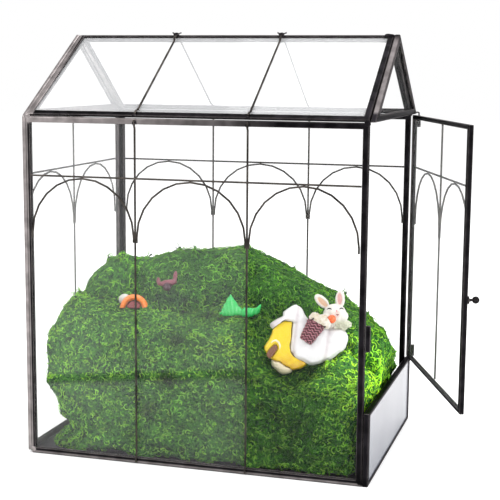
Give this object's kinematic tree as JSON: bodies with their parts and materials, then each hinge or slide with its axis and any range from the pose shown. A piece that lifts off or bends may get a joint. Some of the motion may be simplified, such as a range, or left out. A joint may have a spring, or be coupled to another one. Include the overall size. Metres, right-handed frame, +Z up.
{
  "type": "glass plant terrarium",
  "caption": "House-shaped glass terrarium of dark metal strips and wirework, with a pitched roof, a door standing ajar and a heap of moss with small resin ornaments.",
  "frame": {"origin": "centre of the underside, on the surface it stands on", "axes": "+X to the right, toward the door end and along the ridge; +Y to the back; +Z up"},
  "size_m": [0.3276, 0.1799, 0.3115],
  "materials": {
    "came": "black patina, satin, with worn brighter edges",
    "wire": "black patina, satin",
    "plate": "dark grey, satin",
    "glass": "clear and smooth",
    "moss_front": "fine curled moss, dry and matt",
    "moss_back": "fine combed moss, dry and matt",
    "resin_white": "glazed white",
    "resin_yellow": "painted yellow, soft gloss",
    "resin_cream": "painted cream, soft gloss",
    "resin_brown": "painted brown, matt",
    "basket_red": "painted dark red weave, matt",
    "resin_orange": "painted orange, soft gloss",
    "resin_maroon": "painted dusky maroon, matt",
    "plastic_green": "translucent green, glossy",
    "resin_pink": "painted dusky pink, matt"
  },
  "bodies": {
    "house": {"front_frame": "came", "back_frame": "came", "left_frame": "came", "low_frame": "came", "gable_left_frame": "came", "gable_right_frame": "came", "roof_front_frame": "came", "roof_back_frame": "came", "door_catch": "came", "front_lattice": "wire", "back_lattice": "wire", "left_lattice": "wire", "roof_wire_front_left": "wire", "roof_wire_front_right": "wire", "roof_wire_back_left": "wire", "roof_wire_back_right": "wire", "ridge_knot_left": "wire", "ridge_knot_right": "wire", "hinge_pin_bottom": "wire", "hinge_pin_top": "wire", "base_plate": "plate", "front_glass": "glass", "back_glass": "glass", "left_glass": "glass", "low_glass": "glass", "gable_left_glass": "glass", "gable_right_glass": "glass", "roof_front_glass": "glass", "roof_back_glass": "glass", "moss_front_cushion": "moss_front", "moss_back_hill": "moss_back", "toy_house_roof": "resin_white", "toy_rabbit": "resin_white", "white_pebble": "resin_white", "toy_house_wall": "resin_yellow", "toy_house_base": "resin_cream", "toy_house_door": "resin_brown", "toy_basket": "basket_red", "toy_carrot": "resin_orange", "orange_arch": "resin_orange", "orange_arch_door": "resin_maroon", "green_leaves": "plastic_green", "pink_bird": "resin_pink"},
    "door": {"door_frame": "came", "door_glass": "glass", "door_lattice": "wire", "door_knob": "wire", "door_knuckle_bottom": "came", "door_knuckle_top": "came"}
  },
  "joints": [
    {"name": "door_hinge", "type": "hinge", "parent": "house", "child": "door", "pos_m": [0.131, 0.08805, 0.15], "axis": [0, 0, 1], "range_deg": [-21.3, 138]}
  ]
}
